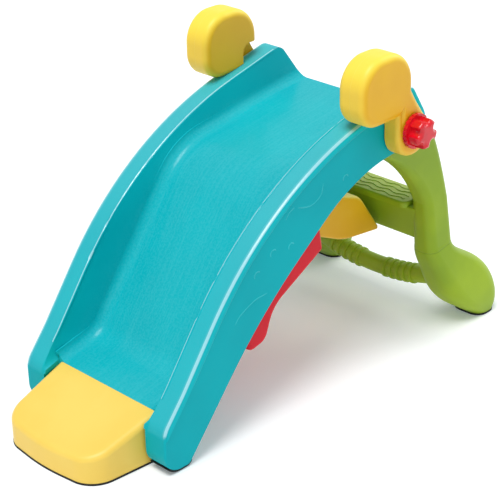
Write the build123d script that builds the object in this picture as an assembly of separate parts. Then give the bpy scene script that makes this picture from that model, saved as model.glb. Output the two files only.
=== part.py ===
"""Toddler slide: a curved chute on two splayed legs, with a landing pad, grab handles and clamp knobs.

Millimetres. +Z is up, +X runs from the landing pad back to the legs, and Y = 0 is the middle plane.
The origin lies on the floor under the middle of the overall length.
Side-view points are given as (distance back from the pad's front edge, height above the floor).
"""
import os
from math import atan2, cos, degrees, hypot, pi, radians, sin, tan

from build123d import *

# %% Driving dimensions
overall_length = 1070.0      # front of the landing pad to the back of the feet
clearance = 0.3              # gap left between pieces that seat on each other
running_clearance = 0.08     # radial, of the bolt in the pieces that turn or slide on it

# Chute
chute_width = 400.0          # over the outer faces of the two side walls
rail_width = 46.0            # flat top of one side rail
inner_lean = 15.0            # how far the inner face of a rail leans out, from bed to rail top
rail_depth = 83.0            # typical height of a rail's top over the bed, square to it
bead_radius = 3.4            # bead along the inner edge of a rail's top
bead_rise = 1.2
skin = 4.0                   # wall of the moulded rails
bed_skin = 8.0               # thickness of the sliding surface
rail_rim = 13.0              # raised rim round the top of the side walls
rim_step = 2.0               # how far that rim stands proud
rail_edge_radius = 7.0
rail_end = 130.0             # front of the rail toes, behind the pad's front edge
rail_toe_height = 94.0       # where the top line of the rails meets the front face
rail_ease = (180.0, 154.7)   # slight bend low on the rails
rail_crest = (411.0, 471.0)  # corner that the long top arc rounds off
rail_back = (812.0, 571.0)   # upper rear corner of the side walls
wall_back = (888.0, 448.0)   # lower rear corner of the side walls
wall_knee = (655.0, 436.0)   # corner of the lower edge under the deck
wall_low = (385.0, 236.0)    # slight corner of the lower edge under the slope
wall_heel = 189.0            # where the lower edge meets the floor
rail_ease_radius = 300.0
rail_crest_radius = 720.0
bed_front = (167.0, 101.0)   # front edge of the sliding surface
bed_runout = (264.0, 124.0)  # corner between run-out and slope
bed_crest = (500.0, 443.5)   # corner between slope and deck
bed_back = (920.0, 505.5)    # the deck line, carried past its rear edge
bed_runout_radius = 70.0
bed_crest_radius = 160.0
bed_cove = 24.0              # hollow curve between the bed and the inner faces of the rails
rib_depth = 14.0             # ribs under the bed
rib_thickness = 3.5
rib_half = 126.0
rib_count = 9
rib_first = 215.0            # distance of the first rib behind the pad's front edge
rib_last = 800.0
toe_block = 205.0            # the rail ends are solid in front of this distance
skirt = 848.0                # front face of the skirt under the deck's rear edge

# Rubber grips on the floor
grip_height = 4.0
grip_lip = 0.6               # how far a grip shows round the piece above it
grip_band = 14.0             # width of the ring under the landing pad
grip_rise = 15.0             # height to which the rail-end grips wrap up

# Landing pad
pad_half_back = 140.4
pad_half_front = 127.0
pad_shoulder = 14.0          # bow of the front edge ahead of the front corners
pad_corner_radius = 56.0
pad_slope = 16.5             # fall of the pad's top, degrees
pad_edge_radius = 13.0
pad_tongue = 40.0            # tongue that reaches under the bed
pad_tongue_thickness = 12.0
pad_tongue_half = 116.0

# Pivot of handles and legs
pivot = (765.0, 501.0)
bolt_diameter = 10.0
bolt_head_diameter = 24.0
bolt_head_height = 5.0
bush_diameter = 16.0

# Handles
handle_outer = 239.0         # outer face of the handles, from the middle plane
lobe_thickness = 66.0
lobe_front = 618.0
lobe_back = 765.0
lobe_low = 534.0
lobe_top = 668.0
lobe_edge_share = 15 / 134     # rounding of the lobe's rim, as a share of its smaller side
lobe_low_corner = 48 / 134     # corner radii seen from the side, as shares of the same
lobe_front_corner = 62 / 134
lobe_back_corner = 66 / 134
boss_centre = (772.0, 490.0)
boss_radius = 46.0
waist = (764.0, 584.0)       # where the back of the lobe turns into the neck
neck_hollow = (781.0, 556.0) # corner of the hollow curve behind the neck
rail_gap = 1.0               # handle above the rail that it rests on
notch_front = 722.0          # hollow under the rear half of the lobe, over the rail
notch_top = 590.0
notch_radius = 18.0

# Knobs
washer_diameter = 48.0
washer_thickness = 2.0
knob_flange_radius = 35.0
knob_flange_thickness = 8.0
knob_teeth = 20
knob_tooth_depth = 2.0
knob_grip_radius = 30.0
knob_length = 35.0           # flange and grip together
knob_lobes = 5
knob_scallop_radius = 10.0
knob_dome = 8.0
insert_diameter = 16.0
insert_length = 22.0

# Leg frame: (height, front, back, outer face from the middle plane, thickness, corner radius)
foot_sections = [
    (grip_height, 998.0, 1060.0, 246.0, 78.0, 26.0),
    (20.0, 975.0, 1068.0, 249.0, 86.0, 32.0),
    (55.0, 930.0, 1070.0, 249.0, 94.0, 38.0),
    (110.0, 896.0, 1043.0, 238.0, 86.0, 34.0),
    (165.0, 873.0, 968.0, 223.0, 69.0, 26.0),
    (196.0, 868.0, 944.0, 214.0, 57.0, 21.0),
]
leg_mid = (292.0, 868.0, 941.0, 201.5, 50.0, 19.0)      # straight from the foot's top to here
leg_upper = (350.0, 842.0, 933.0, 193.5, 52.5, 19.0)
leg_neck = (442.0, 724.0, 903.0, 187.0, 50.0, 16.0)
leg_top = (462.0, 712.0, 896.0, 186.0, 49.0, 16.0)
tongue_inner = 162.0         # tongue of the leg inside the hollow rail
tongue_reach = 27.0          # of the tongue round the bolt
tread_front = 860.0
tread_back = 936.0
tread_top = 286.0
tread_thickness = 14.0
tread_half = 147.0
tread_ridge = 1.6            # height of the wavy ridges on the tread
ridge_count = 4
ridge_width = 4.5
ridge_wave = 3.2             # sideways swing of a ridge
ridge_pitch = 44.0
ridge_half = 132.0
beam_bottom = 197.0
beam_half = 166.0
bar_along = 943.0
bar_radius = 19.5
bar_ring_radius = 22.5
bar_low = 70.0               # height of the bar's axis in the middle
bar_high = 99.0              # height of its ends, inside the legs
bar_half = 174.0
ring_pitch = 18.5
ring_width = 9.0
ring_first = 38.0
ring_count = 5

# Seat under the chute, and brace between seat and step
seat_half = 168.0
seat_low = 352.0             # ends of the seat's mounting edge along the slide
seat_high = 495.0
brace_half = 72.0
brace_low = 566.0            # ends of the brace's mounting edge under the deck
brace_high = 640.0
shell = 4.0                  # wall of both mouldings

# Screws
screw_diameter = 4.4
screw_hole_diameter = 4.6
screw_head_diameter = 9.0
screw_head_height = 3.2
screw_bite = 11.0            # length of thread in the chute
screw_seat = 7.0             # material under the screw's head
screw_boss_diameter = 16.0
screw_access_diameter = 11.0
pad_screw_offsets = [-80.0, 0.0, 80.0]
seat_screw_stations = [398.0, 462.0]
seat_screw_offset = 100.0
brace_screw_station = 603.0
brace_screw_offset = 42.0

# Values that follow from the ones above
half_width = chute_width / 2
wall_inner = half_width - rim_step - skin
bed_half = half_width - rail_width - inner_lean
tongue_outer = wall_inner - clearance
handle_inner = half_width + 2 * clearance
lobe_inner = handle_outer - lobe_thickness
lobe_size = min(lobe_top - lobe_low, lobe_back - lobe_front)
lobe_edge_radius = lobe_edge_share * lobe_size
washer_inner = handle_outer + clearance
knob_inner = washer_inner + washer_thickness + clearance
bar_sag = bar_high - bar_low
bar_arc_radius = (bar_half ** 2 + bar_sag ** 2) / (2 * bar_sag)
mount_drop = bed_skin + rib_depth + clearance
rail_chain = [(rail_end, rail_toe_height), rail_ease, rail_crest, rail_back]
bed_chain = [bed_front, bed_runout, bed_crest, bed_back]
open_floor = -60.0           # a level below everything, for cuts that leave the underside open


# %% Helpers
def at(point):
    """Turn (distance behind the pad's front edge, height) into side-view coordinates."""
    return (point[0] - overall_length / 2, point[1])


def outline(points, radii):
    """A closed side-view face with its corners rounded."""
    return make_face(FilletPolyline(*[at(p) for p in points], radius=radii, close=True))


def plate(face, near, far):
    """A side-view face made solid between two distances from the middle plane."""
    return extrude(Plane.XZ.offset(-near) * face, amount=-(far - near))


def both_sides(shape):
    """A piece and its mirror image across the middle plane, as one shape."""
    return shape + mirror(shape, Plane.XZ)


def shifted(points, distance):
    """A chain of points moved square to its own segments: positive is up and to the front."""
    lines = []
    for (x0, z0), (x1, z1) in zip(points, points[1:]):
        length = hypot(x1 - x0, z1 - z0)
        across = -(z1 - z0) / length * distance
        up = (x1 - x0) / length * distance
        lines.append(((x0 + across, z0 + up), (x1 + across, z1 + up)))
    moved = [lines[0][0]]
    for (a, b), (c, d) in zip(lines, lines[1:]):
        first = (b[0] - a[0], b[1] - a[1])
        second = (d[0] - c[0], d[1] - c[1])
        cross = first[0] * second[1] - first[1] * second[0]
        share = ((c[0] - a[0]) * second[1] - (c[1] - a[1]) * second[0]) / cross
        moved.append((a[0] + share * first[0], a[1] + share * first[1]))
    moved.append(lines[-1][1])
    return moved


def point_on(chain, along):
    """The point of a chain at a distance along the slide; its end segments run on in line."""
    segments = list(zip(chain, chain[1:]))
    inside = [s for s in segments if along <= s[1][0]]
    (x0, z0), (x1, z1) = inside[0] if inside else segments[-1]
    return (along, z0 + (z1 - z0) / (x1 - x0) * (along - x0))


def slope_of(chain, along):
    """Slope of a chain, in degrees, at a distance along the slide."""
    near = point_on(chain, along - 0.5)
    far = point_on(chain, along + 0.5)
    return degrees(atan2(far[1] - near[1], 1.0))


def under_bed(along, offset, drop):
    """A plane under the bed, square to it, whose Z axis points away from the bed."""
    surface = point_on(bed_chain, along)
    angle = slope_of(bed_chain, along)
    x, z = at(surface)
    away = Vector(sin(radians(angle)), 0, -cos(radians(angle)))
    origin = Vector(x, offset, z) + away * drop
    return Plane(origin=origin, x_dir=(cos(radians(angle)), 0, sin(radians(angle))), z_dir=away)


def rod(plane, radius, start, end):
    """A cylinder along a plane's Z axis."""
    return extrude(plane.offset(start) * Circle(radius), amount=end - start)


def across(point, radius, near, far):
    """A cylinder along Y through a side-view point."""
    x, z = at(point)
    return plate(Pos(x, z) * Circle(radius), near, far)


def screw(plane):
    """A pan-head screw whose head bears on the plane and whose thread runs back into the chute."""
    head = fillet(rod(plane, screw_head_diameter / 2, 0, screw_head_height).faces().sort_by(
        Axis((0, 0, 0), plane.z_dir))[-1].edges(), 1.2)
    shank = rod(plane, screw_diameter / 2, -(screw_seat + screw_bite), 0)
    return head + shank


# %% Chute
def side_outline():
    """The side wall, seen from the side: rounded toe, long top arc, rear corner and lower edge."""
    points = rail_chain + [wall_back, wall_knee, wall_low, (wall_heel, grip_height), (rail_end, grip_height)]
    radii = [45, rail_ease_radius, rail_crest_radius, 22, 44, 380, 1100, 12, 38]
    return outline(points, radii)


def lean_between(low, high, near, far):
    """A solid on the +Y side whose side-view outline changes from low to high on its way out."""
    return loft([Plane.XZ.offset(-near) * low, Plane.XZ.offset(-far) * high], ruled=True)


def trough():
    """What is cut from the block to leave the bed and the leaning inner faces of the rails."""
    top = rail_back[1] + 300
    lip = 18.0
    front = rail_end - 80
    bed = [point_on(bed_chain, front), bed_runout, bed_crest, bed_back]
    rail = shifted(rail_chain, lip)
    rail = [point_on(rail, front), rail[1], rail[2], point_on(rail, bed_back[0])]
    low = outline([(front, top)] + bed + [(bed_back[0], top)],
                  [0, 0, bed_runout_radius, bed_crest_radius, 0, 0])
    high = outline([(front, top)] + rail + [(bed_back[0], top)],
                   [0, 0, rail_ease_radius, rail_crest_radius - lip, 0, 0])
    spread = inner_lean * (1 + lip / rail_depth)
    lean = lean_between(low, high, bed_half, bed_half + spread)
    return plate(low, -bed_half, bed_half) + both_sides(lean)


def along_chain(points, radii, offset):
    """A smooth path along a chain of side-view points, at a distance from the middle plane."""
    flat = FilletPolyline(*[at(p) for p in points], radius=radii, close=False)
    return Plane.XZ.offset(-offset) * flat


def cove():
    """The hollow curve between the bed and the inner face of a rail, on the +Y side."""
    lean = atan2(inner_lean, rail_depth)
    reach = bed_cove * tan((pi / 2 - lean) / 2)
    middle = (-reach, bed_cove)
    top = (reach * sin(lean), reach * cos(lean))
    half = (pi / 2 - lean) / 2
    waist_point = (middle[0] + bed_cove * sin(half), middle[1] - bed_cove * cos(half))
    path = along_chain([point_on(bed_chain, bed_front[0]), bed_runout, bed_crest, bed_back],
                       [bed_runout_radius, bed_crest_radius], bed_half)
    start = Plane(origin=path @ 0, x_dir=(0, 1, 0), z_dir=path % 0)
    up = 1 if start.y_dir.Z > 0 else -1
    inset = skin - 1

    def spot(point):
        return (point[0], up * point[1])

    edges = [ThreePointArc(spot((-reach, 0)), spot(waist_point), spot(top)),
             Polyline(spot(top), spot((top[0] + inset, top[1])), spot((inset, -2)), spot((-reach, -2)),
                      spot((-reach, 0)))]
    return sweep(start * make_face(edges), path=path)


def rail_bead():
    """A raised bead along the inner edge of a rail's top, on the +Y side."""
    line = shifted(rail_chain, bead_rise - bead_radius)
    start = point_on(line, rail_end + 38)
    end = point_on(line, rail_back[0] - 22)
    offset = bed_half + inner_lean + 0.5 * bead_radius
    path = along_chain([start, line[1], line[2], end],
                       [rail_ease_radius, rail_crest_radius + bead_rise - bead_radius], offset)
    plane = Plane(origin=path @ 0, z_dir=path % 0)
    bead = sweep(plane * Circle(bead_radius), path=path)
    for place in (path @ 0, path @ 1):
        bead = bead + Pos(*place) * Sphere(bead_radius)
    return bead


def hollow_outlines():
    """Side views of the open space: under the bed, and up inside the rails."""
    front = rail_end - 20
    back = wall_back[0] + 92
    bed = shifted(bed_chain, -bed_skin)
    rail = shifted(rail_chain + [wall_back], -skin)
    deck_end = point_on(bed, rail_back[0] + 34)
    lip = (wall_back[0] + 22, deck_end[1] - 2)
    behind = (rail_back[0] + (rail_back[1] - lip[1]) * (wall_back[0] - rail_back[0]) / (rail_back[1] - wall_back[1])
              - 1.5 * skin, lip[1])
    floor = [(back, wall_knee[1] + 4), (wall_knee[0], wall_knee[1] - 80), (wall_low[0] + 60, wall_low[1] - 80),
             (wall_heel + 70, open_floor), (front, open_floor)]
    sharp = [0] * (len(floor) + 2)
    low = outline([point_on(bed, front), bed[1], bed[2], deck_end, lip] + floor,
                  [0, bed_runout_radius + bed_skin, bed_crest_radius - bed_skin] + sharp)
    high = outline([point_on(rail, front), rail[1], rail[2], rail[3], behind] + floor,
                   [0, rail_ease_radius + skin, rail_crest_radius - skin] + sharp)
    return low, high


def slab(start, end, bottom, top, near, far):
    """A box between two distances along the slide, two heights and two distances from the middle."""
    return plate(outline([(start, bottom), (start, top), (end, top), (end, bottom)], [0, 0, 0, 0]), near, far)


def ribs():
    """Cross ribs that stiffen the underside of the bed."""
    solids = []
    for number in range(rib_count):
        along = rib_first + (rib_last - rib_first) * number / (rib_count - 1)
        plane = under_bed(along, 0, 0)
        solids.append(extrude(plane * Rectangle(rib_thickness, 2 * rib_half), amount=bed_skin + rib_depth))
    return solids


def seat_planes():
    """Where the seat's screws meet the ribs' level, square to the slope."""
    return [under_bed(station, side * seat_screw_offset, mount_drop)
            for station in seat_screw_stations for side in (-1, 1)]


def brace_planes():
    return [under_bed(brace_screw_station, side * brace_screw_offset, mount_drop) for side in (-1, 1)]


def pad_planes():
    station = bed_front[0] + pad_tongue / 2
    return [under_bed(station, offset, mount_drop) for offset in pad_screw_offsets]


def screw_bosses():
    """Round bosses under the bed for every screw."""
    planes = seat_planes() + brace_planes() + pad_planes()
    return [rod(plane, screw_boss_diameter / 2, -mount_drop, -clearance) for plane in planes]


def screw_holes():
    """Blind holes up the middle of the bosses."""
    planes = seat_planes() + brace_planes() + pad_planes()
    return [rod(plane, screw_hole_diameter / 2, -clearance - screw_bite - 1, 1) for plane in planes]


def wall_recess():
    """The shallow field of the side walls inside their raised rim."""
    line = shifted(rail_chain + [wall_back], -rail_rim)
    front = rail_end - 20
    field = outline([point_on(line, front), line[1], line[2], line[3], line[4],
                     (wall_back[0] + 60, wall_knee[1] - 80), (wall_knee[0], wall_knee[1] - 90),
                     (wall_low[0] + 60, wall_low[1] - 80), (wall_heel + 70, open_floor), (front, open_floor)],
                    [0, rail_ease_radius, rail_crest_radius - rail_rim, 16, 30, 0, 0, 0, 0, 0])
    return plate(field, half_width - rim_step, half_width + 1)


def slide_chute():
    """The moulded chute: bed, hollow rails, ribs and bosses underneath."""
    block = plate(side_outline(), -half_width, half_width)
    block = fillet(block.faces().filter_by(Axis.Y).edges(), rail_edge_radius)
    block = block - trough() + both_sides(cove() & plate(side_outline(), 0, half_width))
    low, high = hollow_outlines()
    inner = bed_half + skin + 2
    outer = half_width - rail_width + skin + 1
    rail_space = lean_between(low, high, inner, outer) + plate(high, outer, wall_inner)
    rail_space = rail_space - slab(0, toe_block, open_floor - 10, 400, bed_half, half_width)
    space = plate(low, -inner, inner) + both_sides(rail_space)
    space = space - slab(skirt, wall_back[0] + 100, wall_knee[1] - 60, bed_back[1] + 20, -rib_half - 4, rib_half + 4)
    for solid in ribs() + screw_bosses():
        space = space - solid
    chute = block - space + both_sides(rail_bead())
    chute = chute - slab(0, bed_front[0], open_floor, rail_ease[1], -pad_half_back - 2 * clearance,
                         pad_half_back + 2 * clearance)
    chute = chute - both_sides(wall_recess())
    chute = chute - both_sides(across(pivot, bolt_diameter / 2 + running_clearance, wall_inner - 2, half_width + 2))
    for solid in screw_holes():
        chute = chute - solid
    return chute


# %% Landing pad
def pad_plan(inset):
    """The pad from above, drawn on the floor: square at the back, bowed and rounded at the front."""
    front = inset - overall_length / 2
    back = bed_front[0] - clearance - overall_length / 2 - inset
    half_back = pad_half_back - inset
    half_front = pad_half_front - inset
    nose = (front, 0)
    corner = front + pad_shoulder
    side = [(back, half_back), (corner, half_front), nose, (corner, -half_front), (back, -half_back)]
    radius = pad_corner_radius - inset
    return make_face(FilletPolyline(*side, radius=[0, radius, 420, radius, 0], close=True))


def pad_top_point(along):
    """Height of the pad's sloped top."""
    return bed_front[1] - (bed_front[0] - along) * tan(radians(pad_slope))


def landing_pad():
    """The pad between the rail toes, with a tongue that is screwed up under the bed."""
    block = extrude(Pos(0, 0, grip_height) * pad_plan(0), amount=bed_front[1])
    lid = outline([(-40, pad_top_point(-40)), (bed_front[0] + 40, pad_top_point(bed_front[0] + 40)),
                   (bed_front[0] + 40, 300), (-40, 300)], [0, 0, 0, 0])
    block = block - plate(lid, -2 * pad_half_back, 2 * pad_half_back)
    front_edges = block.faces().sort_by(Axis.Z)[-1].edges().filter_by(
        lambda edge: edge.center().X < at(bed_front)[0] - 3)
    block = fillet(front_edges, pad_edge_radius)
    hollow = extrude(Pos(0, 0, grip_height - 1) * pad_plan(shell), amount=bed_front[1])
    roof = outline([(-40, pad_top_point(-40) - shell), (bed_front[0] + 40, pad_top_point(bed_front[0] + 40) - shell),
                    (bed_front[0] + 40, 300), (-40, 300)], [0, 0, 0, 0])
    hollow = hollow - plate(roof, -2 * pad_half_back, 2 * pad_half_back)
    block = block - hollow
    tongue_top = shifted(bed_chain, -mount_drop)
    tongue_low = shifted(bed_chain, -mount_drop - pad_tongue_thickness)
    start = bed_front[0] - 2 * shell
    end = bed_front[0] + pad_tongue
    tongue = plate(outline([point_on(tongue_low, start), point_on(tongue_top, start), point_on(tongue_top, end),
                            point_on(tongue_low, end)], [0, 0, 3, 3]), -pad_tongue_half, pad_tongue_half)
    pad = block + tongue
    for plane in pad_planes():
        pad = pad - rod(plane, screw_hole_diameter / 2, -1, pad_tongue_thickness + 1)
        pad = pad - rod(plane, screw_access_diameter / 2, screw_seat, pad_tongue_thickness + 30)
    return pad


def landing_pad_grip():
    ring = pad_plan(-grip_lip) - pad_plan(grip_band)
    return extrude(ring, amount=grip_height)


def rail_end_grips():
    """Rubber shoes that wrap the rounded bottoms of the rail toes."""
    toe = side_outline()
    shoe = offset(toe, grip_height) - toe
    shoe = plate(shoe, bed_half + 8, half_width - rim_step - 3)
    keep = slab(0, wall_heel + 8, 0, grip_rise, bed_half, half_width)
    return both_sides(shoe & keep)


# %% Leg frame
def leg_section(height, front, back, outer, thickness, corner):
    plan = RectangleRounded(back - front, thickness, corner)
    middle = (front + back) / 2 - overall_length / 2
    return Plane(origin=(middle, outer - thickness / 2, height)) * plan


def leg_tongue():
    """The flat tongue that carries the bolt, up inside the hollow rail."""
    along, height = pivot
    foot = leg_top[0] - 12
    front = leg_top[1]
    back = leg_top[2]
    tongue = outline([(front - 2, foot), (back - 12, foot), (along + 42, height + tongue_reach),
                      (along - tongue_reach, height + tongue_reach)], [3, 3, 18, 18])
    return plate(tongue, tongue_inner, tongue_outer)


def bar_path(reach):
    """The bar's axis: an arc that hangs between the legs, out to a distance from the middle."""
    drop = bar_arc_radius - (bar_arc_radius ** 2 - reach ** 2) ** 0.5
    x = at((bar_along, 0))[0]
    return ThreePointArc((x, -reach, bar_low + drop), (x, 0, bar_low), (x, reach, bar_low + drop))


def bar_tube(radius, reach):
    path = bar_path(reach)
    start = Plane(origin=path @ 0, z_dir=path % 0)
    return sweep(start * Circle(radius), path=path)


def tread_ridges():
    """Wavy ridges along the tread, for grip."""
    solids = []
    samples = [ridge_half * (number / 24 - 1) for number in range(49)]
    for number in range(ridge_count):
        middle = at((tread_front + (number + 1) * (tread_back - tread_front) / (ridge_count + 1), 0))[0]
        wave = [middle + ridge_wave * sin(2 * pi * y / ridge_pitch) for y in samples]
        front = Spline(*[(x - ridge_width / 2, y) for x, y in zip(wave, samples)])
        back = Spline(*[(x + ridge_width / 2, y) for x, y in zip(wave, samples)])
        face = make_face([front, Line(front @ 1, back @ 1), back, Line(back @ 0, front @ 0)])
        solids.append(extrude(Pos(0, 0, tread_top - 0.5) * face, amount=0.5 + tread_ridge))
    return solids


def step_beam():
    """The beam of the step, with its tread slab, lip and ridges."""
    low = tread_top - tread_thickness
    beam = plate(outline([(tread_front + 8, low + 4), (tread_back - 8, low + 4), (tread_back - 14, beam_bottom + 14),
                          (tread_front + 22, beam_bottom)], [4, 4, 14, 10]), -beam_half, beam_half)
    middle = (tread_front + tread_back) / 2 - overall_length / 2
    plan = Plane(origin=(middle, 0, low)) * RectangleRounded(tread_back - tread_front, 2 * tread_half, 16)
    tread = extrude(plan, amount=tread_thickness)
    tread = fillet(tread.faces().sort_by(Axis.Z)[-1].edges(), 5)
    for ridge in tread_ridges():
        tread = tread + ridge
    return beam + tread


def leg_frame():
    """Two splayed legs joined by the step: one moulding."""
    foot = loft([leg_section(*values) for values in foot_sections])
    straight = loft([leg_section(*foot_sections[-1]), leg_section(*leg_mid)], ruled=True)
    upper = loft([leg_section(*leg_mid), leg_section(*leg_upper), leg_section(*leg_neck)])
    top = loft([leg_section(*leg_neck), leg_section(*leg_top)], ruled=True)
    top = top + leg_tongue()
    top = top - across(pivot, bush_diameter / 2, tongue_inner - 5, tongue_outer + 5)
    middle = both_sides(straight) + step_beam()
    frame = middle + both_sides(foot - bar_tube(bar_radius + clearance / 2, bar_half))
    return frame + both_sides(upper) + both_sides(top)


def leg_foot_grips():
    height, front, back, outer, thickness, corner = foot_sections[0]
    sole = leg_section(0, front - grip_lip, back + grip_lip, outer + grip_lip, thickness + 2 * grip_lip, corner)
    return both_sides(extrude(sole, amount=grip_height))


def grip_bar():
    """The sagging hand bar, ringed for grip on both sides of a smooth middle."""
    bar = bar_tube(bar_radius, bar_half)
    path = bar_path(bar_half)
    for number in range(ring_count):
        reach = ring_first + ring_pitch * number
        share = 0.5 + reach / path.length
        for place in (share, 1 - share):
            plane = Plane(origin=path @ place, z_dir=path % place)
            ring = rod(plane, bar_ring_radius, -ring_width / 2, ring_width / 2)
            ring = fillet(ring.edges().filter_by(GeomType.CIRCLE), 2.4)
            bar = bar + ring
    return bar


def leg_bush():
    tube = across(pivot, bush_diameter / 2, tongue_inner, tongue_outer)
    return tube - across(pivot, bolt_diameter / 2 + running_clearance, tongue_inner - 5, tongue_outer + 5)


# %% Handles and knobs
def handle_outlines():
    """The lobe, and the whole handle with neck and boss, seen from the side."""
    lobe = outline([(lobe_front, lobe_low), (lobe_front, lobe_top), (lobe_back, lobe_top), (lobe_back, lobe_low)],
                   [lobe_low_corner * lobe_size, lobe_front_corner * lobe_size, lobe_back_corner * lobe_size,
                    lobe_low_corner * lobe_size])
    x, z = at(boss_centre)
    front = boss_centre[0] - boss_radius
    tangent = (boss_centre[0] + boss_radius * cos(radians(36)), boss_centre[1] + boss_radius * sin(radians(36)))
    neck = outline([(front, boss_centre[1]), (front, lobe_low + 25), waist, neck_hollow, tangent], [0, 0, 0, 40, 0])
    return lobe, lobe + neck + Pos(x, z) * Circle(boss_radius)


def handle():
    """A grab handle on the +Y side: thick lobe over the rail, neck and round boss on the bolt."""
    lobe, whole = handle_outlines()
    outer = plate(whole, handle_inner, handle_outer)
    outer = fillet(outer.faces().sort_by(Axis.Y)[-1].edges(), lobe_edge_radius)
    inner = plate(lobe, lobe_inner, handle_inner + 1)
    inner = fillet(inner.faces().sort_by(Axis.Y)[0].edges(), lobe_edge_radius)
    notch = outline([(notch_front, lobe_low - 40), (notch_front, notch_top), (lobe_back + 60, notch_top),
                     (lobe_back + 60, lobe_low - 40)], [0, notch_radius, 0, 0])
    inner = inner - plate(notch, lobe_inner - 10, handle_inner)
    inner = inner - plate(offset(side_outline(), rail_gap), lobe_inner - 10, handle_inner)
    body = outer + inner
    return body - across(pivot, bolt_diameter / 2 + running_clearance, lobe_inner, handle_outer + 5)


def washer():
    disc = across(pivot, washer_diameter / 2, washer_inner, washer_inner + washer_thickness)
    return disc - across(pivot, bolt_diameter / 2 + running_clearance, washer_inner - 5, washer_inner + 20)


def knob():
    """A clamp knob: toothed flange and a lobed grip."""
    x, z = at(pivot)
    flange_face = knob_inner + knob_flange_thickness
    end = knob_inner + knob_length
    flange = Circle(knob_flange_radius)
    tooth = Circle(knob_tooth_depth)
    for number in range(knob_teeth):
        flange = flange - PolarLocations(knob_flange_radius + 0.4, 1, 360 * number / knob_teeth) * tooth
    grip = Circle(knob_grip_radius)
    for place in PolarLocations(knob_grip_radius + 0.1 * knob_scallop_radius, knob_lobes, 90 / knob_lobes):
        grip = grip - place * Circle(knob_scallop_radius)
    base = plate(Pos(x, z) * flange, knob_inner, flange_face)
    top = plate(Pos(x, z) * grip, flange_face - 1, end)
    top = fillet(top.faces().sort_by(Axis.Y)[-1].edges(), knob_dome)
    bore = across(pivot, insert_diameter / 2, knob_inner - 1, knob_inner + insert_length)
    return base + top - bore


def knob_insert():
    sleeve = across(pivot, insert_diameter / 2, knob_inner, knob_inner + insert_length)
    return sleeve - across(pivot, bolt_diameter / 2 + running_clearance, knob_inner - 1, knob_inner + insert_length + 1)


def pivot_bolt():
    """Bolt from inside the hollow rail out to the knob, with a round head."""
    x, z = at(pivot)
    head_face = tongue_inner - clearance
    head = across(pivot, bolt_head_diameter / 2, head_face - bolt_head_height, head_face)
    head = fillet(head.faces().sort_by(Axis.Y)[0].edges(), 2)
    shank = across(pivot, bolt_diameter / 2, head_face, knob_inner + insert_length - 2)
    return head + chamfer(shank.faces().sort_by(Axis.Y)[-1].edges(), 1)


# %% Seat and brace under the chute
def moulding(face, half, edge_radius, low, high):
    """A shell from a side-view outline: rounded outside, open between its two mounting corners."""
    block = plate(face, -half, half)
    block = fillet(block.faces().filter_by(Axis.Y).edges(), edge_radius)
    inside = offset(face, -shell)
    reach = (high[0] - low[0], high[1] - low[1])
    middle = at(((low[0] + high[0]) / 2, (low[1] + high[1]) / 2))
    turned = Pos(*middle) * Rot(0, 0, degrees(atan2(reach[1], reach[0])))
    mouth = turned * Rectangle(hypot(*reach) - 3 * shell, 3 * shell)
    space = plate(inside, -half + shell, half - shell) + plate(mouth, -half + shell, half - shell)
    return block, block - space


def with_screw_tubes(block, moulded, planes):
    """Adds the tubes that the screws sit in, with holes that give access from outside."""
    deep = 400
    for plane in planes:
        moulded = moulded + (rod(plane, screw_boss_diameter / 2, 0, deep) & block)
    for plane in planes:
        moulded = moulded - rod(plane, screw_hole_diameter / 2, -1, screw_seat + 1)
        moulded = moulded - rod(plane, screw_access_diameter / 2, screw_seat, deep)
    return moulded


def under_seat():
    """The long moulding under the slope."""
    line = shifted(bed_chain, -mount_drop)
    low = point_on(line, seat_low)
    high = point_on(line, seat_high)
    face = outline([low, (385, 143), (428, 152), (451, 214), (590, 287), (583, 332), high],
                   [4, 14, 30, 70, 9, 12, 4])
    block, moulded = moulding(face, seat_half, 10, low, high)
    return with_screw_tubes(block, moulded, seat_planes())


def front_brace():
    """The rounded brace that reaches from the deck to the step."""
    line = shifted(bed_chain, -mount_drop)
    low = point_on(line, brace_low)
    high = point_on(line, brace_high)
    face = outline([low, high, (700, 334), (808, 297), (876, 198), (760, 212), (600, 286)],
                   [4, 4, 60, 60, 5, 150, 10])
    block, moulded = moulding(face, brace_half, 8, low, high)
    return with_screw_tubes(block, moulded, brace_planes())


def screws_at(planes):
    return Compound(children=[screw(plane.offset(screw_seat)) for plane in planes])


def main():
    os.makedirs("parts", exist_ok=True)
    left = {"handle": handle(), "washer": washer(), "knob": knob(), "knob_insert": knob_insert(),
            "pivot_bolt": pivot_bolt(), "leg_bush": leg_bush()}
    pieces = {
        "slide_chute": slide_chute(),
        "landing_pad": landing_pad(),
        "landing_pad_grip": landing_pad_grip(),
        "landing_pad_screws": screws_at(pad_planes()),
        "rail_end_grips": rail_end_grips(),
        "leg_frame": leg_frame(),
        "leg_foot_grips": leg_foot_grips(),
        "grip_bar": grip_bar(),
        "under_seat": under_seat(),
        "under_seat_screws": screws_at(seat_planes()),
        "front_brace": front_brace(),
        "front_brace_screws": screws_at(brace_planes()),
    }
    for name, shape in left.items():
        pieces[name + "_left"] = shape
        pieces[name + "_right"] = mirror(shape, Plane.XZ)
    for name, shape in pieces.items():
        export_step(shape, f"parts/{name}.step")
        box = shape.bounding_box()
        print(f"{name}: {round(shape.volume)} mm3, {len(shape.solids())} solids, {box.min} {box.max}")


if __name__ == "__main__":
    main()
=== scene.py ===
# %% [markdown]
# # A toddler slide, dressed for its portrait
# The hard shapes come packed from the workshop as a fixed frame: a chute, two splayed legs, handles, knobs
# and the small hardware. This lesson gives each of them a believable surface, adds the floor, the lamps and
# the camera, and prints what it made at each step. Everything is in metres, +Z up, with +X running from the
# landing pad back to the legs.

import bpy
import numpy as np
from mathutils import Matrix, Vector


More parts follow.
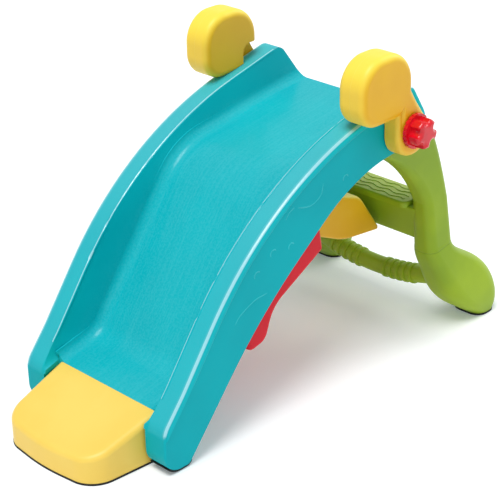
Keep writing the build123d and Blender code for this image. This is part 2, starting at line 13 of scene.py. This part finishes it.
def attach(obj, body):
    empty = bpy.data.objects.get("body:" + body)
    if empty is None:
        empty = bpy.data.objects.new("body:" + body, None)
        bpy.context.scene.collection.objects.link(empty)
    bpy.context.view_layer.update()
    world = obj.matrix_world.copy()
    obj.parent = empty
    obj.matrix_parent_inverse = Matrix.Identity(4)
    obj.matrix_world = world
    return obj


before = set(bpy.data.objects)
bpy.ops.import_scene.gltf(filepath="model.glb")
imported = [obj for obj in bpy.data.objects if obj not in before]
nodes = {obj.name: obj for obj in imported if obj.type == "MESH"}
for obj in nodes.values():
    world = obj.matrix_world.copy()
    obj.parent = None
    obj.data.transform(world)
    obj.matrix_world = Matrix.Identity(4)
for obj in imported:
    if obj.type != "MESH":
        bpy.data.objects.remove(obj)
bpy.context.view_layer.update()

# %% [markdown]
# ## Shader sums written as sums
# A material is a graph of nodes, and a long graph is hard to read. A small wrapper round a socket lets the
# sums be written as Python expressions, so that 1 - mask or grain * 0.3 add their own Math nodes. One more
# method makes any other node: its settings are set first, and then the values or links of its sockets.

# %% The socket wrapper
class Wire:
    """An output socket that arithmetic can be done on."""

    def __init__(self, graph, socket):
        self.graph = graph
        self.socket = socket

    def _sum(self, operation, *values):
        """A Math node with this operation on the values."""
        return self.graph.node("ShaderNodeMath", {"operation": operation}, values)

    def __add__(self, other):
        return self._sum("ADD", self, other)

    def __radd__(self, other):
        return self._sum("ADD", other, self)

    def __sub__(self, other):
        return self._sum("SUBTRACT", self, other)

    def __rsub__(self, other):
        return self._sum("SUBTRACT", other, self)

    def __mul__(self, other):
        return self._sum("MULTIPLY", self, other)

    def __rmul__(self, other):
        return self._sum("MULTIPLY", other, self)

    def sin(self):
        return self._sum("SINE", self)

    def absolute(self):
        return self._sum("ABSOLUTE", self)

    def least(self, other):
        """The smaller of two values."""
        return self._sum("MINIMUM", self, other)

    def most(self, other):
        """The larger of two values."""
        return self._sum("MAXIMUM", self, other)

    def step(self, low, high):
        """0 below low, 1 above high, and smooth between."""
        return self.graph.node("ShaderNodeMapRange", {"interpolation_type": "SMOOTHSTEP"},
                               {"Value": self, "From Min": low, "From Max": high, "To Min": 0.0,
                                "To Max": 1.0})


class Graph:
    """The nodes of a material or a world, emptied and ready to be filled."""

    def __init__(self, owner):
        owner.use_nodes = True
        self.tree = owner.node_tree
        self.tree.nodes.clear()

    def feed(self, socket, value):
        """Gives an input socket a link or a constant."""
        if isinstance(value, Wire):
            self.tree.links.new(value.socket, socket)
        else:
            socket.default_value = value

    def node(self, kind, settings, values, result=0):
        """Any node: its settings first, then its sockets by name or in order; gives one output back."""
        made = self.tree.nodes.new(kind)
        for name, value in settings.items():
            setattr(made, name, value)
        pairs = values.items() if isinstance(values, dict) else enumerate(values)
        for name, value in pairs:
            self.feed(made.inputs[name], value)
        return Wire(self, made.outputs[result]) if made.outputs else None

    def seen_only(self):
        """1 for the rays that show a surface: from the camera, in a reflection or through glass."""
        camera, glossy, glass = [self.node("ShaderNodeLightPath", {}, {}, kind)
                                 for kind in ("Is Camera Ray", "Is Glossy Ray", "Is Transmission Ray")]
        return camera.most(glossy).most(glass)


class Finish(Graph):
    """A material with one Principled shader, and short ways to add what feeds it."""

    def __init__(self, name):
        self.material = bpy.data.materials.new(name)
        super().__init__(self.material)
        output = self.tree.nodes.new("ShaderNodeOutputMaterial")
        self.shader = self.tree.nodes.new("ShaderNodeBsdfPrincipled")
        self.tree.links.new(self.shader.outputs["BSDF"], output.inputs["Surface"])
        self.place = self.node("ShaderNodeTexCoord", {}, {}, "Object")

    def stretched(self, scale):
        """The place, scaled along each axis, so that a pattern on it is drawn out along one."""
        return self.node("ShaderNodeMapping", {}, {"Vector": self.place, "Scale": scale})

    def noise(self, scale, detail=2.0, rough=0.5, place=None):
        """A cloudy value round 0.5, with so many lumps to the metre."""
        return self.node("ShaderNodeTexNoise", {}, {"Vector": place or self.place, "Scale": scale,
                                                   "Detail": detail, "Roughness": rough})

    def cells(self, scale):
        """The distance to the nearest of many scattered points: 0 at a point, larger between them."""
        return self.node("ShaderNodeTexVoronoi", {}, {"Vector": self.place, "Scale": scale}, "Distance")

    def mix(self, share, one, other):
        """A colour between two, by a share from 0 to 1."""
        return self.node("ShaderNodeMix", {"data_type": "RGBA"}, {0: share, 6: one, 7: other}, 2)

    def at(self, axis):
        """The place along one axis, in metres."""
        return self.node("ShaderNodeSeparateXYZ", {}, [self.place], axis)

    def facing(self, axis):
        """How much the surface faces along an axis: that part of its normal."""
        normal = self.node("ShaderNodeNewGeometry", {}, {}, "Normal")
        return self.node("ShaderNodeSeparateXYZ", {}, [normal], axis)

    def hair_line(self, distance, half, fade):
        """1 within half of the line where the distance is 0, and 0 from fade on."""
        return 1.0 - distance.absolute().step(half, fade)

    def bump(self, height, depth, strength=1.0, below=None):
        """A normal tilted as if the height, times the depth in metres, stood on what is below."""
        values = {"Height": height, "Distance": depth, "Strength": strength}
        if below is not None:
            values["Normal"] = below
        return self.node("ShaderNodeBump", {}, values, "Normal")

    def set(self, **values):
        """Feeds the shader's sockets, named with _ for a space, and gives the material."""
        for name, value in values.items():
            self.feed(self.shader.inputs[name.replace("_", " ")], value)
        return self.material


def colour(red, green, blue):
    """A colour given as screen values from 0 to 255, turned to the linear values that shaders use."""
    part = np.array([red, green, blue]) / 255
    linear = np.where(part <= 0.04045, part / 12.92, ((part + 0.055) / 1.055) ** 2.4)
    return (*[float(v) for v in linear], 1.0)


print("shader wrapper ready")

# %% [markdown]
# ## Moulded polyethylene
# The big pieces are blown into a mould, so their skin copies the mould's fine sandblasted grain, and the
# walls shrink a little unevenly as they cool, which shows as slow waves in the reflections. The pigment
# goes right through the plastic, so the colour hardly shifts, and what tells the material apart is its soft
# sheen. A noise at grain size, a slow noise and a stretched noise for the fine rubs of use give these
# three. One flat colour could stand for the same things, but it would have no relief when the light turns.

# %% Moulded plastic
def moulded(name, base, light, dark, rough=0.5, grain=900.0, rub=(6.0, 60.0, 6.0), rubs=0.2, seam=None,
            shine=0.3):
    """Colour between dark and light with a slow noise; relief from grain, waves, rubs and a mould seam.

    The seam is where the two halves of the mould met: a raised hair line wherever the size of the
    place's Y equals the given distance from the middle plane.
    """
    f = Finish(name)
    slow = f.noise(6.0, 3.0, 0.5)
    fine = f.noise(grain, 2.0, 0.5)
    pits = f.cells(grain * 0.55)
    rubbed = f.noise(1.0, 5.0, 0.65, f.stretched(rub)).step(0.58, 0.76) * rubs
    tone = f.mix(slow.step(0.3, 0.7), dark, base)
    tone = f.mix(pits.step(0.25, 0.65) * 0.10, tone, dark)
    tone = f.mix(rubbed * 0.35, tone, light)
    normal = f.bump(slow, 0.004, 0.25)
    if seam:
        line = f.hair_line(f.at("Y").absolute() - seam, 0.0002, 0.0008)
        tone = f.mix(line * 0.25, tone, light)
        normal = f.bump(line, 0.0004, 0.6, normal)
    normal = f.bump(fine * 0.6 + pits * 0.4, 0.0004, 0.18, normal)
    return f, tone, normal, rough + 0.08 * slow + 0.12 * rubbed - 0.05 * fine, shine


def finished(f, tone, normal, rough, shine):
    """Connects what moulded() made to the shader."""
    return f.set(Base_Color=tone, Roughness=rough, Normal=normal, IOR=1.5, Specular_IOR_Level=shine)


yellow = finished(*moulded("yellow_moulded", colour(248, 214, 100), colour(255, 236, 150),
                           colour(244, 206, 86), rub=(14.0, 20.0, 14.0), rough=0.4, shine=0.45))
red = finished(*moulded("red_moulded", colour(230, 14, 42), colour(240, 70, 84), colour(214, 8, 34),
                        rub=(18.0, 18.0, 10.0), rubs=0.15, rough=0.4, shine=0.2))
print("plain moulded plastics:", yellow.name, red.name)

# %% [markdown]
# ## The chute's skin
# The chute shows several skins. The bed is rubbed lengthwise by all that slid down it, so it has faint
# streaks and specks. The flat tops of the rails are pebbled, to give a hand some grip, and a little paler,
# with a painted highlight where they face up. Their edges are worn smooth and glossy, and their paleness is
# a painted highlight, and the rim below them gets painted light that makes it a little brighter than the
# wall.
# A material for each zone would need the mesh cut up, so one material finds the zones by itself, from the
# distance to the middle plane and from the way the surface faces.

# %% Zones across the chute
rail_inside = 0.154           # distance of a rail's inner edge from the middle plane
rail_outside = 0.200          # and of its outer edge, which is the rim's face


def chute_zones(f):
    """Shares from 0 to 1 for the bed, the rail tops, their edges, which get a painted highlight, and the
    rim, which gets painted light.

    Each is a smooth step up times a smooth step down of the distance from the middle plane. The lean is
    the normal's Y times the place's Y, so it is positive where a surface faces away from the middle.
    """
    across = f.at("Y").absolute()
    up = f.facing("Z")
    sideways = f.facing("Y").absolute()
    lean = f.facing("Y") * f.at("Y")
    bed = 1.0 - across.step(rail_inside - 0.019, rail_inside - 0.004)
    top = across.step(rail_inside - 0.004, rail_inside + 0.001)
    top = top * (1.0 - sideways.step(0.15, 0.4)) * up.step(0.05, 0.2)
    # The edge bands, which get a painted highlight: the outer one where the surface turns away from the
    # middle, the inner one where it turns toward it.
    outer = across.step(rail_outside - 0.0120, rail_outside - 0.0090)
    outer = outer * (1.0 - across.step(rail_outside - 0.0022, rail_outside - 0.0010))
    outer = outer * lean.step(-0.001, 0.004)
    inner = across.step(rail_inside - 0.0007, rail_inside - 0.0001)
    inner = inner * (1.0 - across.step(rail_inside + 0.0035, rail_inside + 0.0055))
    inner = inner * (0.0 - lean).step(0.004, 0.02)
    edge = (outer * up.step(0.1, 0.3) + inner * up.step(0.02, 0.1)).least(1.0)
    # The rim's face, which gets painted light.
    rim = across.step(rail_outside - 0.0008, rail_outside - 0.0003) * sideways.step(0.6, 0.9)
    return bed, top, edge, rim, up


# %% The chute's plastic
def chute_plastic():
    """The chute's teal: streaks and specks on the bed, pebbled rail tops, and painted highlights on the
    tops, the glossy edges and the rim.
    """
    f, tone, normal, rough, _ = moulded("chute_teal", colour(0, 180, 190), colour(60, 204, 212),
                                        colour(0, 173, 184))
    bed, top, edge, rim, up = chute_zones(f)
    streaks = f.noise(1.0, 3.0, 0.6, f.stretched((10.0, 260.0, 10.0))).step(0.45, 0.65)
    specks = f.noise(240.0, 2.0, 0.6).step(0.38, 0.62)
    pebble = f.cells(280.0)
    tone = f.mix(bed * streaks * 0.065, tone, colour(110, 214, 220))
    tone = f.mix(bed * specks * 0.08, tone, colour(110, 212, 220))
    # The rail tops are a little paler teal, and a painted highlight makes them paler still where they face
    # up.
    tone = f.mix(top * (0.06 + 0.10 * up.step(0.6, 0.95)), tone, colour(150, 218, 222))
    tone = f.mix(top * pebble.step(0.25, 0.7) * 0.3, tone, colour(50, 178, 190))
    # Painted light: the rim is made brighter than the wall.
    tone = f.mix(rim * 0.4, tone, colour(20, 208, 216))
    # Painted highlight: the edges of the rail tops are made pale.
    tone = f.mix(edge * 0.52, tone, colour(200, 242, 252))
    normal = f.bump(pebble * top * (1.0 - edge), 0.0006, 0.3, normal)
    return f.set(Base_Color=tone, Roughness=rough + top * 0.1 - edge * 0.2, Normal=normal, IOR=1.5,
                 Specular_IOR_Level=0.1, Coat_Weight=(up.step(0.25, 0.8) * 0.22).most(edge * 0.9),
                 Coat_Roughness=0.2, Coat_IOR=1.6)


teal = chute_plastic()
# The raised lines are a paler teal than the wall: a painted highlight.
painted_highlight_lines = finished(*moulded("chute_lines", colour(44, 194, 202), colour(110, 216, 222),
                               colour(36, 186, 194)))
print("chute finishes:", teal.name, painted_highlight_lines.name)

# %% [markdown]
# ## The handles and the legs
# The handles are moulded in two halves, which leaves a hair line round their rims, and their rims and their
# tops get a painted highlight that makes them paler than the flat faces. The step between the legs gets
# painted light that makes its tread pale, and a fine crease runs round each ankle, just above the foot. A
# groove cut in the shape could make the crease, but it is so fine that a line of painted shade with a little
# relief looks the same.

# %% Handle and leg plastic
handle_middle = 0.206         # distance of a handle's middle, where its seam runs, from the middle plane
tread_level = 0.279           # height of the step's edge: only what is above it is tread
crease_level = 0.1345         # height of the ankle's crease at X = 0
crease_slope = 0.15           # and how much it rises for each metre of X


def handle_plastic():
    """Yellow with a painted highlight: paler where the surface faces up, or away from the flat sides."""
    f, tone, *rest = moulded("handle_yellow", colour(240, 186, 14), colour(255, 232, 110),
                             colour(232, 174, 8), rub=(14.0, 20.0, 14.0), seam=handle_middle, rough=0.42,
                             shine=0.4)
    # Painted highlight: the rounded rims, away from the flat faces, are made paler.
    rim = 1.0 - f.facing("Y").absolute().step(0.5, 0.98)
    tone = f.mix(rim * 0.35, tone, colour(255, 236, 96))
    # Painted highlight: what faces up is made paler still.
    return finished(f, f.mix(f.facing("Z").step(-0.1, 0.8) * 0.65, tone, colour(255, 238, 84)), *rest)


def leg_plastic():
    """Green with painted light on the tread and painted shade in a crease round each ankle.

    The crease runs where Z equals its level plus its slope times X, on a plane that rises a little to
    the back. The tread is what faces up above its level.
    """
    f, tone, normal, *rest = moulded("green_moulded", colour(160, 189, 32), colour(196, 216, 84),
                                     colour(132, 164, 30), rub=(16.0, 16.0, 6.0), rubs=0.25, rough=0.44)
    tread = f.facing("Z").step(0.8, 0.95) * f.at("Z").step(tread_level - 0.003, tread_level + 0.003)
    crease = f.hair_line(f.at("Z") - f.at("X") * crease_slope - crease_level, 0.0006, 0.0018)
    # Painted shade: the ankle's crease is darkened, besides its bump.
    tone = f.mix(crease * 0.35, tone, colour(104, 132, 30))
    # Painted light: the tread, what faces up above its level, is made pale.
    tone = f.mix(tread * 0.5, tone, colour(214, 226, 130))
    return finished(f, tone, f.bump(0.0 - crease, 0.0008, 0.6, normal), *rest)


handle_yellow = handle_plastic()
green = leg_plastic()
print("handle and leg finishes:", handle_yellow.name, green.name)

# %% [markdown]
# ## The knobs, the rubber and the metal
# The knobs are injection moulded and polished, so they have a clear gloss with only a trace of orange peel.
# The grips are matt rubber with dust in it. Screws are zinc plated, with a cloudy blue-yellow cast, and the
# nut inside each knob is turned brass with fine rings.

# %% Knob and rubber
def knob_plastic():
    """Glossy red: a clear coat on a smooth base, with a trace of orange peel in its relief."""
    f = Finish("knob_red")
    peel = f.noise(260.0, 2.0, 0.5)
    slow = f.noise(40.0, 2.0, 0.5)
    tone = f.mix(slow.step(0.3, 0.7), colour(214, 4, 28), colour(226, 14, 36))
    return f.set(Base_Color=tone, Roughness=0.26 + 0.08 * slow, Normal=f.bump(peel, 0.0002, 0.25), IOR=1.5,
                 Specular_IOR_Level=0.2, Coat_Weight=0.6, Coat_Roughness=0.05)


def rubber():
    """Nearly black, matt and finely grained, with grey dust in patches."""
    f = Finish("grip_rubber")
    dust = f.noise(90.0, 4.0, 0.6)
    grain = f.noise(1100.0, 2.0, 0.5)
    tone = f.mix(dust.step(0.5, 0.8) * 0.5, colour(16, 16, 18), colour(58, 58, 58))
    return f.set(Base_Color=tone, Roughness=0.72 + 0.2 * dust, Normal=f.bump(grain, 0.0003, 0.5), IOR=1.45)


# %% Metal and nylon
def zinc():
    """Bright plated steel with blue and yellow clouds, and fine brush lines drawn out along Y."""
    f = Finish("zinc_steel")
    cloud = f.noise(120.0, 3.0, 0.6)
    brushed = f.noise(1.0, 3.0, 0.6, f.stretched((900.0, 40.0, 900.0)))
    tone = f.mix(cloud.step(0.35, 0.7), colour(196, 200, 206), colour(206, 204, 188))
    return f.set(Base_Color=tone, Metallic=1.0, Roughness=0.28 + 0.14 * brushed,
                 Normal=f.bump(brushed, 0.0001, 0.3))


def turned_brass():
    """Brass with fine turned rings: the relief is the sine of Y, about one ring in 0.7 mm."""
    f = Finish("brass")
    rings = (f.at("Y") * 9000.0).sin()
    cloud = f.noise(200.0, 2.0, 0.5)
    tone = f.mix(cloud, colour(214, 178, 106), colour(190, 150, 80))
    return f.set(Base_Color=tone, Metallic=1.0, Roughness=0.26 + 0.1 * cloud,
                 Normal=f.bump(rings, 0.00005, 0.4))


def natural_nylon():
    """Off-white nylon with slow clouds and a fine grain."""
    f = Finish("nylon")
    cloud = f.noise(150.0, 3.0, 0.5)
    grain = f.noise(1400.0, 2.0, 0.5)
    tone = f.mix(cloud, colour(226, 222, 208), colour(208, 202, 186))
    return f.set(Base_Color=tone, Roughness=0.42 + 0.12 * cloud, Normal=f.bump(grain, 0.0001, 0.3), IOR=1.53)


finishes = {"knob": knob_plastic(), "rubber": rubber(), "zinc": zinc(), "brass": turned_brass(),
            "nylon": natural_nylon(), "teal": teal, "yellow": yellow, "handle": handle_yellow,
            "green": green, "red": red}
print("finishes:", sorted(finishes))

# %% [markdown]
# ## Dressing the frame
# Each node of the frame keeps its shape and gets its finish by a new entry in its own material slot. The
# table below is the whole of it, so a change of finish is a change of one word.

# %% Give each node its finish
worn_by = {
    "slide_chute": "teal", "landing_pad": "yellow", "landing_pad_grip": "rubber",
    "landing_pad_screws": "zinc", "rail_end_grips": "rubber", "leg_frame": "green",
    "leg_foot_grips": "rubber", "grip_bar": "green", "under_seat": "red", "under_seat_screws": "zinc",
    "front_brace": "handle", "front_brace_screws": "zinc", "handle": "handle", "knob": "knob",
    "washer": "nylon", "pivot_bolt": "zinc", "knob_insert": "brass", "leg_bush": "nylon",
}
for name, node in nodes.items():
    plain = name.removesuffix("_left").removesuffix("_right")
    node.data.materials.clear()
    node.data.materials.append(finishes[worn_by[plain]])
print("dressed", len(nodes), "nodes")

# %% [markdown]
# ## Raised lines on the side walls
# The mould leaves a thin raised line below the rim of each side wall, and a few loose curls that only
# decorate. Each is a half-round ribbon: a smooth line in the side view, swept with a low arch that dies out
# at both ends. A bump in the material would be cheaper, but it casts no shadow and has no edge when the
# slide is seen from the front, so the lines are made as thin surfaces that sit on the wall.

# %% A ribbon on a wall
ribbon_foot = 0.0002         # how far a ribbon's foot lies inside the wall


def smooth_line(points, steps=16):
    """A line through the points: between two of them it is the cubic set by their neighbours.

    With t from 0 to 1, a point is half of 2b + (c - a)t + (2a - 5b + 4c - d)t squared
    + (3b - a - 3c + d)t cubed, for the neighbours a, b, c and d.
    """
    p = np.asarray(points, float)
    p = np.vstack([2 * p[0] - p[1], p, 2 * p[-1] - p[-2]])      # one more neighbour past each end
    t = np.linspace(0, 1, steps, endpoint=False)[:, None]
    runs = [(2 * b + (c - a) * t + (2 * a - 5 * b + 4 * c - d) * t ** 2
             + (3 * b - a - 3 * c + d) * t ** 3) / 2
            for a, b, c, d in zip(p[:-3], p[1:-2], p[2:-1], p[3:])]
    return np.vstack(runs + [p[-2:-1]])


def directions(line):
    """The unit direction of a line at each of its points."""
    ahead = np.gradient(line, axis=0)
    return ahead / np.linalg.norm(ahead, axis=1, keepdims=True)


def ribbon(line, width, height, wall, side, taper=0.12):
    """Points of a half-round ribbon on the plane y = side times wall.

    With v from -1 to 1 across the ribbon, its rise over the wall is height times (1 - v squared) times
    an end factor, and its half width is half the width times (0.3 + 0.7 times that factor). The factor
    is the square root of the distance to the nearer end over the taper, as shares of the length, and 1
    beyond it. The foot lies a little inside the wall, so that no gap shows under it.
    """
    ahead = directions(line)
    across = np.stack([-ahead[:, 1], ahead[:, 0]], 1)
    run = np.linspace(0, 1, len(line))
    end = np.sqrt(np.clip(np.minimum(run, 1 - run) / taper, 0, 1))
    v = np.linspace(-1, 1, 9)
    half = (width / 2) * (0.3 + 0.7 * end)
    flat = line[:, None] + across[:, None] * (half[:, None] * v)[..., None]
    rise = height * (1 - v ** 2)[None] * end[:, None]
    y = side * (wall - ribbon_foot + rise)
    return np.stack([flat[..., 0], y, flat[..., 1]], -1)


# %% Grids of points made into a mesh
def sheets(name, grids, outward):
    """One mesh of several grids of points, with faces turned so that their normals look outward.

    Each face joins a point to the next one in its row, its column and both.
    """
    points, faces, start = [], [], 0
    for grid in grids:
        rows, columns = grid.shape[:2]
        corner = (np.arange(rows - 1)[:, None] * columns + np.arange(columns - 1)).ravel() + start
        quads = np.stack([corner, corner + columns, corner + columns + 1, corner + 1], -1)
        a, b, c = (grid.reshape(-1, 3)[quads[:, i] - start] for i in (0, 1, 2))
        if (np.cross(b - a, c - a) @ outward).mean() < 0:
            quads = quads[:, ::-1]
        points.append(grid.reshape(-1, 3))
        faces.append(quads)
        start += rows * columns
    mesh = bpy.data.meshes.new(name)
    mesh.from_pydata(np.vstack(points).tolist(), [], np.vstack(faces).tolist())
    mesh.polygons.foreach_set("use_smooth", np.ones(len(mesh.polygons), bool))
    made = bpy.data.objects.new(name, mesh)
    bpy.context.scene.collection.objects.link(made)
    return made


# %% The line below the rim
# The rim follows the rail's top at a fixed depth, so its line is read from the chute's own corners: those
# near the outer edge of the rail's top, in order, each moved square to the line by the depth. Other corners
# lie at the same distance from the middle plane, but below a line halfway up the wall.
rim_step = 0.002             # how far the rim stands proud of the wall
rim_depth = 0.0152           # from the rail's top down to the line
top_edge = 0.007             # from the rim's outer face in to the flat top of the rail
nearness = 0.0003            # how near to that edge a corner counts
line_start, line_end = -0.375, 0.262
least_gap = 0.004            # corners closer together than this would make the line jagged
halfway_x = [-0.405, -0.330, -0.226, -0.103, 0.036, 0.210, 0.330]
halfway_z = [0.050, 0.090, 0.228, 0.348, 0.440, 0.505, 0.530]

chute = nodes["slide_chute"].data
corners = np.empty(len(chute.vertices) * 3)
chute.vertices.foreach_get("co", corners)
x, y, z = corners.reshape(-1, 3).T
rim_out = y.max()
wall_out = rim_out - rim_step
on_top = (np.abs(y - (rim_out - top_edge)) < nearness) & (z > np.interp(x, halfway_x, halfway_z))
crest = np.unique(np.round(np.stack([x, z], 1)[on_top], 5), axis=0)
crest = crest[(crest[:, 0] > line_start) & (crest[:, 0] < line_end)]
crest = crest[np.insert(np.diff(crest[:, 0]) > least_gap, 0, True)]
along = directions(crest)
rim_line = crest + rim_depth * np.stack([along[:, 1], -along[:, 0]], 1)
print("rim line:", len(rim_line), "points, ends at", rim_line[[0, -1]].round(3).tolist())


# %% The curls, and both walls
def hook(x, z, radius, start, sweep):
    """A short arc: angles run evenly from start, over sweep degrees, round the point (x, z)."""
    angle = np.radians(start + np.linspace(0, sweep, 7))
    return np.stack([x + radius * np.cos(angle), z + radius * np.sin(angle)], 1)


curls = [[(-0.222, 0.243), (-0.211, 0.255), (-0.193, 0.265), (-0.166, 0.275), (-0.134, 0.277)],
         [(0.019, 0.448), (0.014, 0.429), (0.003, 0.419), (-0.011, 0.414), (-0.026, 0.414), (-0.052, 0.421)],
         [(-0.084, 0.407), (-0.074, 0.419), (-0.060, 0.425)],
         hook(-0.069, 0.348, 0.0075, 20, 190), hook(-0.117, 0.351, 0.0080, 30, 180),
         hook(-0.160, 0.322, 0.0080, 40, 170), hook(0.082, 0.437, 0.0070, 10, 200)]
for side, label in ((-1, "right"), (1, "left")):
    grids = [ribbon(smooth_line(points), 0.0030, 0.0011, wall_out, side) for points in curls]
    grids.append(ribbon(smooth_line(rim_line, 4), 0.0028, 0.0012, wall_out, side, 0.02))
    piece = sheets("wall_lines_" + label, grids, np.array([0.0, side, 0.0]))
    piece.data.materials.append(painted_highlight_lines)
    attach(piece, "slide")
    print(piece.name, len(piece.data.polygons), "faces")

# %% [markdown]
# ## Floor and sky
# A pale floor carries the soft shadow, and it shows white to the camera without putting more light on the
# slide: only rays from the camera, from a reflection or through glass pick up its extra glow. The sky works
# the same way, as an even grey that lights the slide and a white for the rays that look at it. A bright
# floor and sky would be simpler, but their light would wash out the walls and the underside.

# %% Floor
floor_size = 60.0
floor_level = -0.0005        # just under the grips, so that no two faces lie in one plane

u, v = np.meshgrid(*[np.linspace(-floor_size / 2, floor_size / 2, 12)] * 2, indexing="ij")
floor = sheets("floor", [np.stack([u, v, np.full_like(u, floor_level)], -1)], np.array([0.0, 0.0, 1.0]))
f = Finish("floor_pale")
dust = f.noise(3.0, 3.0, 0.5)
no_light, cool_white = (0.0, 0.0, 0.0, 1.0), (0.74, 0.91, 1.0, 1.0)
glow = f.mix(f.seen_only(), no_light, cool_white)
f.set(Base_Color=f.mix(dust, colour(246, 246, 246), colour(250, 250, 250)), Roughness=0.8,
      Emission_Color=glow, Emission_Strength=0.18)
floor.data.materials.append(f.material)
print("floor:", len(floor.data.polygons), "faces")

# %% Sky
world = bpy.data.worlds.new("studio")
bpy.context.scene.world = world
g = Graph(world)
soft = g.node("ShaderNodeBackground", {}, {"Color": (0.93, 0.96, 1.0, 1.0), "Strength": 0.36})
white = g.node("ShaderNodeBackground", {}, {"Color": (1.0, 1.0, 1.0, 1.0), "Strength": 1.0})
both = g.node("ShaderNodeMixShader", {}, [g.seen_only(), soft, white])
g.node("ShaderNodeOutputWorld", {}, {"Surface": both})
print("sky:", len(g.tree.nodes), "nodes")

# %% [markdown]
# ## Lamps
# Three wide suns stand in for soft boxes. The key comes from above and a little from the front, so the bed
# and the seat are about as bright, and the shadow falls under the slide. A weak fill reaches the near wall,
# and a lamp from the back gives the handles and the legs a bright edge. Area lamps could do the same, but a
# sun's light is even at every height, so nothing is too bright near a lamp.

# %% Three suns
def sun(name, toward, strength, spread):
    """Even light from one direction; the spread, in degrees, is how wide its source looks."""
    data = bpy.data.lights.new(name, "SUN")
    data.energy = strength
    data.angle = np.radians(spread)
    made = bpy.data.objects.new(name, data)
    made.rotation_euler = Vector(toward).to_track_quat("-Z", "Y").to_euler()
    bpy.context.scene.collection.objects.link(made)
    return made


lamps = [sun("key", (0.34, 0.08, -1.0), 2.25, 30.0), sun("fill", (0.6, 0.9, -0.55), 0.18, 60.0),
         sun("side", (-0.85, 0.15, -0.5), 0.85, 36.0)]
print("lamps:", [lamp.name for lamp in lamps])

# %% [markdown]
# ## Camera
# A long lens looks down at 26 degrees from the front right, and keeps the far rail nearly as large as the
# near one. The camera is set by where it stands and by three angles. Its axes are worked out from them:
# ahead from the yaw and the pitch, level at right angles to it, and the last turn is the small roll. Aiming
# it at a target would be shorter, but leaves no say over the roll.

# %% Camera
scene = bpy.context.scene
lens = bpy.data.cameras.new("camera")
lens.lens = 114.70
lens.sensor_width = 36.0
camera = bpy.data.objects.new("camera", lens)
scene.collection.objects.link(camera)
scene.camera = camera
stand = Vector((-1.99614, -2.01504, 1.65246))
yaw, pitch, roll = 0.785023, 0.458054, -0.022768
ahead = np.array([np.cos(yaw) * np.cos(pitch), np.sin(yaw) * np.cos(pitch), -np.sin(pitch)])
level = np.array([np.sin(yaw), -np.cos(yaw), 0.0])
above = np.cross(level, ahead)
right = level * np.cos(roll) + above * np.sin(roll)
up = -level * np.sin(roll) + above * np.cos(roll)
turn = Matrix(np.stack([right, up, -ahead], 1).tolist())
camera.matrix_world = Matrix.Translation(stand) @ turn.to_4x4()
scene.view_settings.view_transform = "Standard"
print("camera looks", np.round(ahead, 3).tolist())

# %% Update the scene
bpy.context.view_layer.update()
